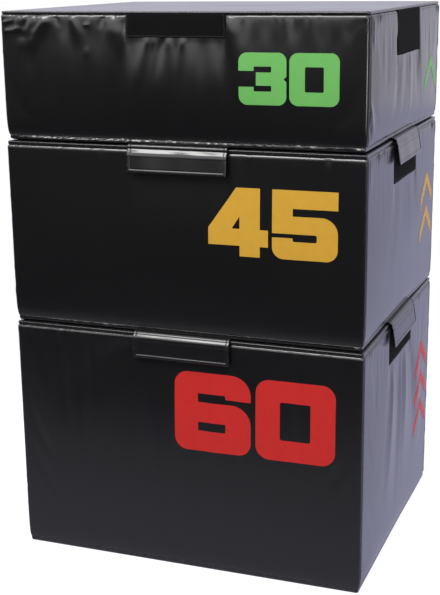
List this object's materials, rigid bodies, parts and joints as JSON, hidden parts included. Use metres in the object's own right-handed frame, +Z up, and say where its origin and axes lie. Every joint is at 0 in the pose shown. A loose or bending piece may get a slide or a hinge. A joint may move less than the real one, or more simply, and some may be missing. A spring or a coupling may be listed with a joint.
{
  "type": "soft plyo box set",
  "caption": "Stack of soft foam jump boxes in black vinyl covers, with printed height numbers, chevrons, and hook-and-loop flaps that hold each box to the one below.",
  "frame": {"origin": "middle of the base of the lowest box, on the floor", "axes": "+Z up through the stack, the printed fronts face -Y, the chevrons face +X"},
  "size_m": [0.9154, 0.772, 1.35],
  "materials": {
    "vinyl": "gloss",
    "foam": "matte",
    "loop": "matte",
    "hook": "matte",
    "zip_tape": "matte",
    "zip_metal": "satin",
    "print_green": "satin",
    "print_amber": "satin",
    "print_red": "satin"
  },
  "bodies": {
    "box_60": {"top_panel_60": "vinyl", "base_panel_60": "vinyl", "front_wall_60": "vinyl", "right_wall_60": "vinyl", "back_wall_60": "vinyl", "left_wall_60": "vinyl", "foam_slabs_60": "foam", "loop_patches_front_back_60": "loop", "loop_patches_sides_60": "loop", "zip_chain_60": "zip_tape", "number_60": "print_red", "chevrons_60": "print_red"},
    "box_45": {"top_panel_45": "vinyl", "base_panel_45": "vinyl", "front_wall_45": "vinyl", "right_wall_45": "vinyl", "back_wall_45": "vinyl", "left_wall_45": "vinyl", "foam_slabs_45": "foam", "loop_patches_front_back_45": "loop", "loop_patches_sides_45": "loop", "zip_chain_45": "zip_tape", "number_45": "print_amber", "chevrons_45": "print_amber", "flap_roots_45": "vinyl"},
    "box_30": {"top_panel_30": "vinyl", "base_panel_30": "vinyl", "front_wall_30": "vinyl", "right_wall_30": "vinyl", "back_wall_30": "vinyl", "left_wall_30": "vinyl", "foam_slabs_30": "foam", "loop_patches_front_back_30": "loop", "loop_patches_sides_30": "loop", "zip_chain_30": "zip_tape", "number_30": "print_green", "chevrons_30": "print_green", "flap_roots_30": "vinyl"},
    "flap_front_45": {"flap_front_45": "vinyl", "hook_front_45": "hook"},
    "flap_right_45": {"flap_right_45": "vinyl", "hook_right_45": "hook"},
    "flap_back_45": {"flap_back_45": "vinyl", "hook_back_45": "hook"},
    "flap_left_45": {"flap_left_45": "vinyl", "hook_left_45": "hook"},
    "flap_front_30": {"flap_front_30": "vinyl", "hook_front_30": "hook"},
    "flap_right_30": {"flap_right_30": "vinyl", "hook_right_30": "hook"},
    "flap_back_30": {"flap_back_30": "vinyl", "hook_back_30": "hook"},
    "flap_left_30": {"flap_left_30": "vinyl", "hook_left_30": "hook"},
    "zip_slider_60": {"zip_slider_60": "zip_metal"},
    "zip_pull_60": {"zip_pull_60": "zip_metal"},
    "zip_slider_45": {"zip_slider_45": "zip_metal"},
    "zip_pull_45": {"zip_pull_45": "zip_metal"},
    "zip_slider_30": {"zip_slider_30": "zip_metal"},
    "zip_pull_30": {"zip_pull_30": "zip_metal"}
  },
  "joints": [
    {"name": "lift_45", "type": "slide", "parent": "box_60", "child": "box_45", "axis": [0, 0, 1], "range_m": [0, 0.15]},
    {"name": "flap_front_45_swing", "type": "hinge", "parent": "box_45", "child": "flap_front_45", "pos_m": [0, -0.38233, 0.596], "axis": [-1, 0, 0], "range_deg": [0, 165]},
    {"name": "flap_right_45_swing", "type": "hinge", "parent": "box_45", "child": "flap_right_45", "pos_m": [0.44733, 0, 0.596], "axis": [0, -1, 0], "range_deg": [-7, 158]},
    {"name": "flap_back_45_swing", "type": "hinge", "parent": "box_45", "child": "flap_back_45", "pos_m": [0, 0.38233, 0.596], "axis": [1, 0, 0], "range_deg": [0, 165]},
    {"name": "flap_left_45_swing", "type": "hinge", "parent": "box_45", "child": "flap_left_45", "pos_m": [-0.44733, 0, 0.596], "axis": [0, 1, 0], "range_deg": [-7, 158]},
    {"name": "lift_30", "type": "slide", "parent": "box_45", "child": "box_30", "axis": [0, 0, 1], "range_m": [0, 0.15]},
    {"name": "flap_front_30_swing", "type": "hinge", "parent": "box_30", "child": "flap_front_30", "pos_m": [0, -0.38227, 1.046], "axis": [-1, 0, 0], "range_deg": [0, 165]},
    {"name": "flap_right_30_swing", "type": "hinge", "parent": "box_30", "child": "flap_right_30", "pos_m": [0.44727, 0, 1.046], "axis": [0, -1, 0], "range_deg": [-7, 158]},
    {"name": "flap_back_30_swing", "type": "hinge", "parent": "box_30", "child": "flap_back_30", "pos_m": [0, 0.38227, 1.046], "axis": [1, 0, 0], "range_deg": [0, 165]},
    {"name": "flap_left_30_swing", "type": "hinge", "parent": "box_30", "child": "flap_left_30", "pos_m": [-0.44727, 0, 1.046], "axis": [0, 1, 0], "range_deg": [-7, 158]},
    {"name": "zip_slide_60", "type": "slide", "parent": "box_60", "child": "zip_slider_60", "axis": [-1, 0, 0], "range_m": [0, 0.687]},
    {"name": "zip_pull_flip_60", "type": "hinge", "parent": "zip_slider_60", "child": "zip_pull_60", "pos_m": [0.3435, 0.38326, 0.016], "axis": [0, 0, -1], "range_deg": [0, 170]},
    {"name": "zip_slide_45", "type": "slide", "parent": "box_45", "child": "zip_slider_45", "axis": [-1, 0, 0], "range_m": [0, 0.687]},
    {"name": "zip_pull_flip_45", "type": "hinge", "parent": "zip_slider_45", "child": "zip_pull_45", "pos_m": [0.3435, 0.38334, 0.616], "axis": [0, 0, -1], "range_deg": [0, 170]},
    {"name": "zip_slide_30", "type": "slide", "parent": "box_30", "child": "zip_slider_30", "axis": [-1, 0, 0], "range_m": [0, 0.687]},
    {"name": "zip_pull_flip_30", "type": "hinge", "parent": "zip_slider_30", "child": "zip_pull_30", "pos_m": [0.3435, 0.38353, 1.066], "axis": [0, 0, -1], "range_deg": [0, 170]}
  ]
}
